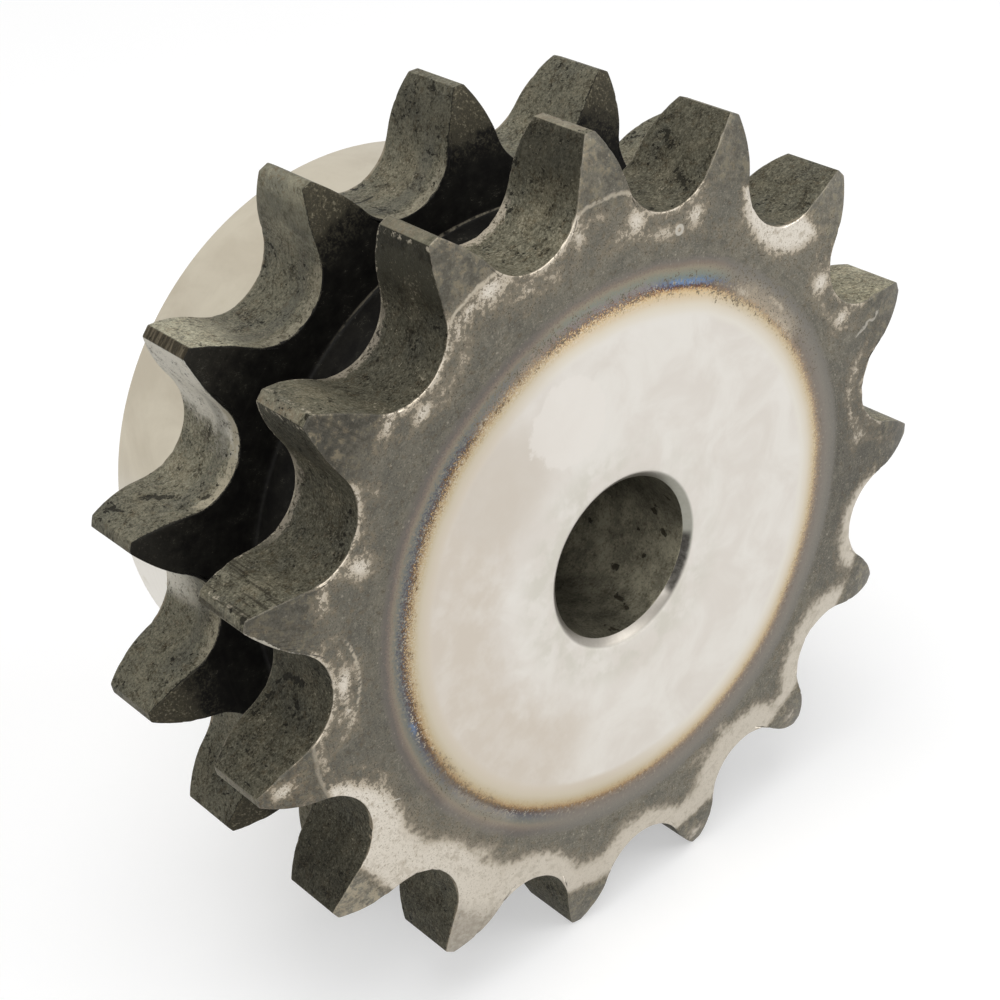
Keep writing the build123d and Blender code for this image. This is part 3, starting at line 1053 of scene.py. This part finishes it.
def flank_edges(paint, base, rear, land, bare, edge):
    """The flanks' base with worn lands, rubbed or darkened edges, chips, and the hob's fine scores."""
    radius, y, sector = paint.radius, paint.y, paint.sector
    blotch, mottle, grain, flake = paint.blotch, paint.mottle, paint.grain, paint.flake
    near_edge = 0.03 + 0.12 * blotch + 0.12 * grain - edge
    corner = rear * rise(y, 5.5, 5.0) * rise(radius + 0.4 * mottle, 34.6, 36.4)
    # small bright chips along the front teeth's edges at nine to twelve o'clock
    chipped = rise(y, -9, -7) * rise(0.25 - edge + 0.15 * flake, -0.05, 0.1)
    tipped = rise(radius, TIP_RADIUS - 0.55, TIP_RADIUS - 0.3) * (1 - land)
    chipped = most(chipped, tipped) * (1 - rear) * sector(312, 26, 8) * rise(mottle + 0.7 * grain, 0.2, 0.7)
    scores = cloud(vector(paint.x * 2.6, y * 0.12, paint.z * 2.6), 1.0, 3, 0.6)
    scored = sector(292, 4, 3) * rise(y, 1.0, -1.0) * rise(radius, 35.0, 37.5)
    return lay(
        base,
        (bare * 0.75, mix(rise(mottle, -1, 1), (172, 162, 142), (122, 110, 90))),
        (rise(near_edge, -0.03, 0.06) * 0.45, mix(corner, (160, 151, 134), (30, 28, 23))),
        (corner * rise(near_edge + 0.16, -0.06, 0.06) * 0.85, (22, 21, 17)),
        (chipped * 0.8, (182, 173, 154)),
        (scored * rise(scores, 0.1, 0.7) * 0.7, (40, 36, 28)),
    )


def dark_pits(paint, calm):
    """1 in the flanks' pits and gouges."""
    x, y, z = paint.x, paint.y, paint.z
    pits = spots(vector(x, y * 0.8, z), paint.patch - calm, 0.55, 0.85)
    fine = spots(paint.place, paint.blotch - calm, 0.3, 0.75)
    slanted = vector(x * 0.35 + z * 0.9, y * 0.6 - x * 0.3, z * 0.4 + y * 0.5)
    dark = most(pits, fine * 0.8, spots(slanted, paint.patch - calm, 0.7, 1.1))
    tatter = 0.25 * paint.mottle + 0.3 * paint.flake
    for start, end, half, ragged in FLANK_GOUGES:
        dark = most(dark, rise(paint.from_line(start, end) + ragged * tatter, half + 0.06, half - 0.06))
    return dark


def flank_material():
    """The hobbed tooth flanks: dark scale, darkest on the front ring, with pits and tool marks, painted
    light and shade gap by gap, and a painted sheen on some rear undersides.
    """
    paint = Paint(
        "flank_steel", grain=(5.2, 4, 0.7), patch=(0.28, 3, 0.55), blotch=(0.65, 4, 0.65),
        mottle=(1.5, 3, 0.6), flake=(2.8, 3, 0.65),
    )
    x, y, z, radius, sector = paint.x, paint.y, paint.z, paint.radius, paint.sector
    grain, blotch, mottle, flake = paint.grain, paint.blotch, paint.mottle, paint.flake
    paint.streak = cloud(vector(x * 1.3, y * 2.4, z * 1.3), 1.0, 3, 0.6)
    rear = rise(y, -1.0, 1.0)
    low = rise(radius, 38.5, 34.5)
    calm = sector(331, 5, 3) * rise(radius + 0.4 * blotch, 35.5, 37.5)

    # the scale painted lighter or darker gap by gap, partly its own tone and partly painted light and shade;
    # a smooth darker band under some tips, light grains on the seats, a painted sheen on some rear
    # undersides, and one striped dark land
    band = rise(abs(radius - 38.6 + 0.5 * blotch), 1.6, 0.8)
    band = band * most(sector(331, 5, 3), sector(355, 4, 3) * 0.6)
    light = spots(paint.place, 0.5 * flake - paint.patch, 0.27, 0.9)
    land = rise(radius, TIP_RADIUS - 0.12, TIP_RADIUS - 0.04)
    # satin is a painted sheen: a painted reflection, with lower roughness and more metal
    satin = painted_sheen_at(paint, rear, land)
    stripe = cloud(vector(x * 0.3, y * 2.2, z * 0.3), 1.0, 3, 0.65)
    base = lay(
        scaled(hobbed_scale(paint, rear, calm), paint.attribute("shade")),
        (band * 0.45, (70, 68, 57)),
        (light * (0.25 + 0.3 * low), (162, 154, 134)),
        (satin * 0.88, (205, 200, 187)),
        (land * rear * sector(312, 5, 2) * 0.85, mix(rise(stripe, -0.3, 0.7), (56, 50, 38), (104, 95, 78))),
    )
    bare = rise(paint.attribute("wear") + 0.35 * mottle + 0.4 * grain, -0.1, 0.9)
    base = seat_rims(paint, base, rear, low)
    base = flank_edges(paint, base, rear, land, bare, paint.attribute("edge"))
    dark = dark_pits(paint, calm)
    base = mix(dark * 0.86, base, (24, 22, 16))

    rough = 0.52 + 0.05 * grain - 0.08 * bare - 0.04 * satin
    metal = 0.15 + 0.4 * bare + 0.3 * satin
    height = 0.008 * grain + 0.003 * paint.streak + 0.012 * flake + 0.012 * mottle
    return paint.finish(base, rough, metal, height - 0.06 * dark + 0.006 * light, 0.06)


# ---------------------------------------------------------------- the groove, the hub and the bore
def groove_material():
    """The groove and the rings' inner sides: almost black, partly dark oxide and partly painted shade deep
    in the groove, with fine turning lines and specks.
    """
    paint = Paint("groove_oxide_and_painted_shade", grain=(5.0, 4, 0.7), mottle=(1.4, 3, 0.6), blotch=(0.5, 4, 0.6))
    x, y, z, radius, sector = paint.x, paint.y, paint.z, paint.radius, paint.sector
    grain, mottle, blotch, edge = paint.grain, paint.mottle, paint.blotch, paint.attribute("edge")
    lathe = cloud(paint.round_axis(0.1, 4.0), 1.0, 3, 0.6)
    scuff = cloud(vector(x * 0.4, y, z * 1.6), 1.6, 3, 0.7, 0.5)

    # brown dust and grit cling near the tips, but hardly at all on two teeth
    crumb = cloud(paint.place, 3.2, 3, 0.7)
    dusty = rise(radius + 0.8 * blotch + 0.5 * mottle, 36.0, 38.6) * (1 - 0.9 * sector(300, 22, 8))
    grit = rise(grain + 0.8 * crumb + 0.4 * mottle, 0.9, -0.7)
    veil = rise(radius + 0.7 * blotch, 33.6, 36.4) * (1 - 0.85 * sector(300, 22, 8))
    thread = cloud(vector(x * 0.5, y * 0.8, z * 2.2), 1.3, 2, 0.6, 1.2)
    thread = rise(abs(thread - 0.1), 0.07, 0.02) * rise(blotch + 0.5 * mottle, 0.3, 0.9)
    # a painted highlight along the corner beside the rear ring, on its small fillet
    corner = rise(abs(radius - (GROOVE_RADIUS + 0.2)) + 0.05 * blotch, 0.11, 0.03)
    corner = corner * rise(y, REAR_RING_FRONT - 0.5, REAR_RING_FRONT - 0.2)
    rub = rise(0.02 + 0.1 * blotch + 0.12 * grain - edge, -0.02, 0.05)
    crease = rise(y, -1.0, 1.0) * rise(radius, 34.6, 36.4)
    # the near-black base is partly the dark oxide and partly painted shade where the groove is deep
    base = lay(
        mix(rise(blotch + 0.5 * mottle, -1.0, 1.0), (20, 19, 18), (32, 31, 28)),
        (rise(lathe, 0.2, 1.0) * 0.2, (44, 42, 38)),
        (dusty * (0.1 + 0.8 * grit), (88, 83, 68)),
        (dusty * rise(crumb + 0.5 * grain, -0.4, -1.0) * 0.7, (138, 131, 112)),
        (dusty * rise(crumb, 0.5, 0.9) * 0.8, (24, 22, 17)),
        (veil * rise(grain + crumb + 0.5 * mottle, -0.3, 0.9) * 0.6, (76, 72, 60)),
        (rise(grain + 0.6 * crumb, 0.9, 1.3) * rise(blotch, -0.4, 0.6) * 0.85, (104, 100, 88)),
        (most(rise(scuff, 0.9, 1.3) * 0.5, thread * 0.6), (92, 89, 80)),
        (corner * sector(0, 14, 28) * rise(mottle, 0.9, -0.3) * 0.55, (128, 121, 105)),
        (rub * 0.4, mix(crease, (120, 114, 99), (22, 21, 17))),
    )
    rough = 0.5 + 0.05 * grain + 0.1 * dusty
    height = 0.001 * lathe + 0.003 * grain + 0.006 * mottle * dusty
    return paint.finish(base, rough, 0.1 + 0.4 * corner, height, 0.08)


def hub_material():
    """The turned hub: bright satin metal with faint turning lines and stains, and a painted highlight along
    its lower left side.
    """
    paint = Paint("hub_steel", grain=(4.0, 3, 0.6), stain=(0.14, 4, 0.6, 0.5), blotch=(0.6, 4, 0.6))
    turning = vector(paint.turn_x * 3, paint.turn_z * 3, (paint.y + paint.radius) * 6.0)
    lathe = cloud(turning, 1.0, 2, 0.6)
    base = lay(
        mix(rise(paint.stain, -0.9, 0.9), (197, 189, 171), (186, 177, 159)),
        # painted highlight: the hub is lighter along its lower left side
        (rise(paint.towards(250), 0.8, 0.98), (222, 218, 210)),
        (rise(paint.blotch, 0.4, 1.1) * 0.25, (182, 173, 152)),
        (rise(lathe, 0.0, 1.0) * 0.08, (176, 169, 153)),
    )
    rough = 0.4 + 0.02 * paint.stain + 0.02 * paint.grain
    return paint.finish(base, rough, 0.95, 0.0004 * lathe + 0.0003 * paint.grain)


# The largest pits in the bore's wall: degrees clockwise from straight up, place along it, radius.
BORE_PITS = (
    (142.7, -5.6, 0.5), (126.1, -7.9, 0.35), (111.4, -6.3, 0.25), (104.8, -9.6, 0.4),
    (160.5, -8.4, 0.4), (164.0, -9.7, 0.45), (92.0, -8.2, 0.22), (122.2, -0.1, 0.3),
)


def bore_material():
    """The pilot bore: the blank's own dark skin, mottled and pitted, with painted light along one side and
    painted shade round the rest.
    """
    paint = Paint(
        "bore_scale", grain=(4.0, 4, 0.7), patch=(0.3, 3, 0.55), blotch=(0.5, 4, 0.65), mottle=(1.5, 3, 0.6)
    )
    grain, mottle = paint.grain, paint.mottle
    base = lay(
        mix(rise(paint.blotch, -0.9, 0.9), (150, 145, 125), (108, 104, 89)),
        (rise(mottle, 0.1, 1.0) * 0.5, (76, 69, 54)),
        (rise(grain, 0.1, 1.0) * 0.6, (58, 55, 46)),
        (rise(grain, -0.3, -1.1) * 0.6, (172, 165, 146)),
    )
    # painted light and shade: the wall is lightest along the side at four o'clock and darkened elsewhere
    base = scaled(base, 0.4 + 0.75 * rise(paint.towards(127), 0.66, 1.0))
    pits = spots(vector(paint.x, paint.y * 0.7, paint.z), paint.patch, 1.5, 0.95)
    turn = calc("ARCTAN2", paint.x, paint.z)
    for at, along, radius in BORE_PITS:
        off = length(vector((turn - radians(at)) * BORE_RADIUS * 1.4, paint.y - along, 0.0))
        pits = most(pits, rise(off + 0.3 * mottle + 0.12 * grain, radius + 0.08, radius - 0.1))
    base = mix(pits * 0.85, base, (34, 29, 19))
    height = 0.005 * grain + 0.006 * mottle - 0.08 * pits
    return paint.finish(base, 0.52 + 0.05 * grain, 0.15 - 0.15 * pits, height, 0.1)


sprocket = build_sprocket([
    face_material(), flank_material(), groove_material(), hub_material(), bore_material(),
])
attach(sprocket, "root")
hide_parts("sprocket")


# ---------------------------------------------------------------- camera
CAMERA_AZIMUTH = -40.19
CAMERA_ELEVATION = 34.07
CAMERA_ROLL = -4.21
CAMERA_DISTANCE = 179.93
LOOK_POINT = (-4.66, FRONT_FACE, 1.51)
SENSOR = 36.0
LENS = 72.16
SHIFT = (-0.0873, 0.0685)


def add_camera():
    """The camera that took the photo, as fitted to it."""
    a, e, roll = (radians(v) for v in (CAMERA_AZIMUTH, CAMERA_ELEVATION, CAMERA_ROLL))
    forward = Vector((-sin(a) * cos(e), cos(a) * cos(e), -sin(e)))
    level = Vector((cos(a), sin(a), 0))
    upright = level.cross(forward)
    right = cos(roll) * level + sin(roll) * upright
    up = -sin(roll) * level + cos(roll) * upright
    place = Vector(LOOK_POINT) - forward * CAMERA_DISTANCE
    data = bpy.data.cameras.new("camera")
    data.sensor_width = SENSOR
    data.lens = LENS
    data.shift_x, data.shift_y = SHIFT
    data.clip_start = 0.005
    camera = bpy.data.objects.new("camera", data)
    turn = Matrix((right, up, -forward)).transposed().to_4x4()
    camera.matrix_world = Matrix.Translation(place * MM) @ turn
    bpy.context.scene.collection.objects.link(camera)
    bpy.context.scene.camera = camera


add_camera()


# ---------------------------------------------------------------- floor, world and lamps
AMBIENT = 0.36
FLOOR_COLOUR = 0.62
FLOOR_LIFT = 0.42
LIFT_RISES = (0.45, 1.0)     # the distances, in metres, over which the lift grows to full white


def seen_directly(tree):
    """1 for rays that show the surroundings: from the camera, off gloss or through glass."""
    path = tree.nodes.new("ShaderNodeLightPath")
    kinds = ("Is Camera Ray", "Is Glossy Ray", "Is Transmission Ray")
    return most(*(Field(tree, path.outputs[kind]) for kind in kinds))


def add_floor():
    """A pale floor under the part, lifted to white where nothing shades it."""
    size = 3.0
    low = CAD_BOX[0][2]
    mesh = bpy.data.meshes.new("floor")
    corners = [(-size, -size, low), (size, -size, low), (size, size, low), (-size, size, low)]
    mesh.from_pydata(corners, [], [(0, 1, 2, 3)])
    floor = bpy.data.objects.new("floor", mesh)
    bpy.context.scene.collection.objects.link(floor)
    material = bpy.data.materials.new("floor_paint")
    material.use_nodes = True
    tree = material.node_tree
    shader = tree.nodes["Principled BSDF"]
    shader.inputs["Base Color"].default_value = (FLOOR_COLOUR, FLOOR_COLOUR, FLOOR_COLOUR, 1)
    shader.inputs["Roughness"].default_value = 0.9
    shader.inputs["Specular IOR Level"].default_value = 0.0
    shader.inputs["Emission Color"].default_value = (1, 1, 1, 1)
    place = tree.nodes.new("ShaderNodeNewGeometry")
    far = rise(length(Field(tree, place.outputs["Position"])), *LIFT_RISES)
    lift = FLOOR_LIFT + (1 - FLOOR_LIFT) * far
    connect(tree, seen_directly(tree) * lift, shader.inputs["Emission Strength"])
    mesh.materials.append(material)


def add_world():
    """White surroundings, dimmer as a light than they look."""
    world = bpy.data.worlds.new("studio")
    bpy.context.scene.world = world
    world.use_nodes = True
    tree = world.node_tree
    background = tree.nodes["Background"]
    background.inputs["Color"].default_value = (1, 1, 1, 1)
    connect(tree, AMBIENT + (1 - AMBIENT) * seen_directly(tree), background.inputs["Strength"])


def add_lamp(name, place, size, level):
    """A soft square lamp that looks at the part; level is the light it gives there."""
    data = bpy.data.lights.new(name, "AREA")
    data.size = size
    spot = Vector(place)
    data.energy = level * pi**2 * spot.length_squared
    lamp = bpy.data.objects.new(name, data)
    lamp.location = spot
    lamp.rotation_euler = (-spot).to_track_quat("-Z", "Y").to_euler()
    bpy.context.scene.collection.objects.link(lamp)


add_floor()
add_world()
add_lamp("top_lamp", (-0.15, -0.1, 1.2), 1.0, 0.6)
add_lamp("right_lamp", (0.9, -1.1, 0.7), 0.9, 0.3)
add_lamp("left_lamp", (-0.75, -0.9, 0.8), 0.6, 0.2)
bpy.context.scene.view_settings.view_transform = "Standard"
